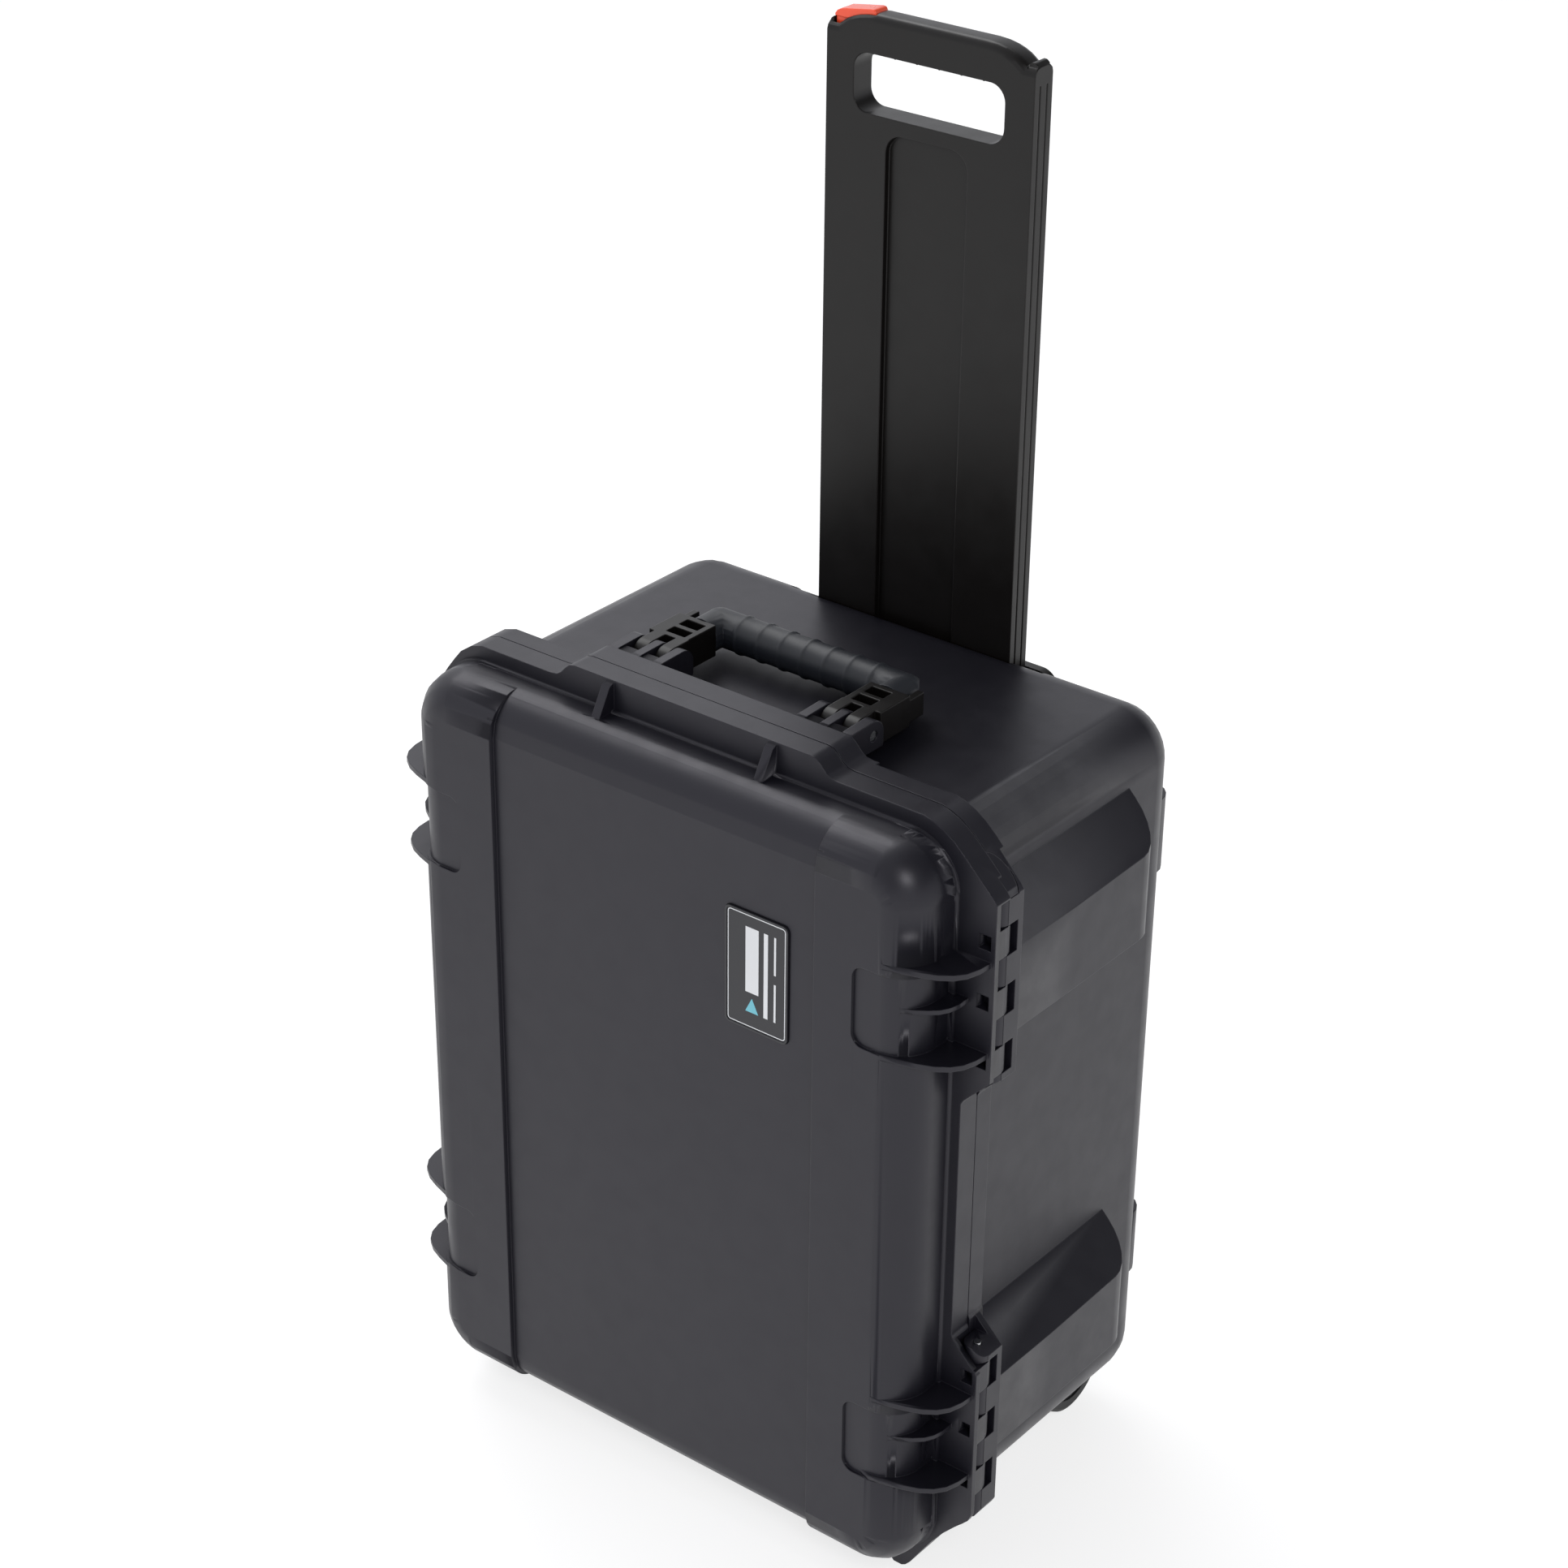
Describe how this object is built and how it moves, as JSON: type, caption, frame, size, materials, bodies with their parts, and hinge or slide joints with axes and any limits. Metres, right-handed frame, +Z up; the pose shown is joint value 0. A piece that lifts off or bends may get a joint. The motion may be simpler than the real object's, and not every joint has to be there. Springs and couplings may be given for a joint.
{
  "type": "hard equipment case",
  "caption": "Wheeled hard case standing on end: side-hinged lid with latches, folding top carry handle, telescoping flat pull handle with release button.",
  "frame": {"origin": "on the floor, under the middle of the bounding box at rest", "axes": "+Z up with the case standing on its short end, -Y out of the lid's face, +X towards the hinges"},
  "size_m": [0.4384, 0.2784, 0.8835],
  "materials": {
    "case_plastic": "satin moulded",
    "handle_plastic": "satin moulded",
    "hub_plastic": "moulded",
    "plate_plastic": "semi-gloss",
    "button_red": "semi-gloss",
    "seal_rubber": "matt",
    "grip_rubber": "matt",
    "tyre": "matt",
    "steel": "brushed"
  },
  "bodies": {
    "case": {"base_shell": "case_plastic", "handle_housing": "handle_plastic", "cover_screw_1": "steel", "cover_screw_2": "steel", "cover_screw_3": "steel", "cover_screw_4": "steel", "hinge_pin_upper": "steel", "hinge_pin_lower": "steel", "carry_pin_left": "steel", "carry_pin_right": "steel", "axle_left": "steel", "axle_right": "steel"},
    "lid": {"lid_shell": "case_plastic", "lid_seal": "seal_rubber", "label_plate": "plate_plastic", "latch_pin_upper": "steel", "latch_pin_lower": "steel"},
    "latch_upper_lever": {"latch_upper": "handle_plastic"},
    "latch_lower_lever": {"latch_lower": "handle_plastic"},
    "carry_handle": {"carry_frame": "handle_plastic", "carry_grip": "grip_rubber"},
    "tow_handle": {"pull_handle": "handle_plastic"},
    "button": {"release_button": "button_red", "release_rod": "steel"},
    "bolt": {"lock_bolt": "steel"},
    "wheel_left": {"tyre_left": "tyre", "wheel_hub_left": "hub_plastic"},
    "wheel_right": {"tyre_right": "tyre", "wheel_hub_right": "hub_plastic"}
  },
  "joints": [
    {"name": "lid_hinge", "type": "hinge", "parent": "case", "child": "lid", "pos_m": [0.21025, -0.08825, 0.2675], "axis": [0, 0, 1], "range_deg": [0, 90]},
    {"name": "latch_upper_hinge", "type": "hinge", "parent": "lid", "child": "latch_upper_lever", "pos_m": [-0.19975, -0.08975, 0.4175], "axis": [0, 0, 1], "range_deg": [0, 90]},
    {"name": "latch_lower_hinge", "type": "hinge", "parent": "lid", "child": "latch_lower_lever", "pos_m": [-0.19975, -0.08975, 0.1175], "axis": [0, 0, 1], "range_deg": [0, 90]},
    {"name": "carry_hinge", "type": "hinge", "parent": "case", "child": "carry_handle", "pos_m": [0.00325, -0.04675, 0.528], "axis": [1, 0, 0], "range_deg": [0, 90]},
    {"name": "pull_slide", "type": "slide", "parent": "case", "child": "tow_handle", "axis": [0, 0, 1], "range_m": [-0.366, 0]},
    {"name": "button_press", "type": "slide", "parent": "tow_handle", "child": "button", "axis": [0, 0, 1], "range_m": [-0.0045, 0], "stiffness_N_per_m": 800, "springref_m": 0.002},
    {"name": "bolt_slide", "type": "slide", "parent": "tow_handle", "child": "bolt", "axis": [1, 0, 0], "range_m": [0, 0.0045]},
    {"name": "wheel_left_spin", "type": "hinge", "parent": "case", "child": "wheel_left", "pos_m": [-0.14775, 0.09225, 0.0315], "axis": [1, 0, 0], "continuous": true},
    {"name": "wheel_right_spin", "type": "hinge", "parent": "case", "child": "wheel_right", "pos_m": [0.15425, 0.09225, 0.0315], "axis": [1, 0, 0], "continuous": true}
  ],
  "couplings": [
    {"joint": "bolt_slide", "follows": "button_press", "ratio": -1}
  ]
}
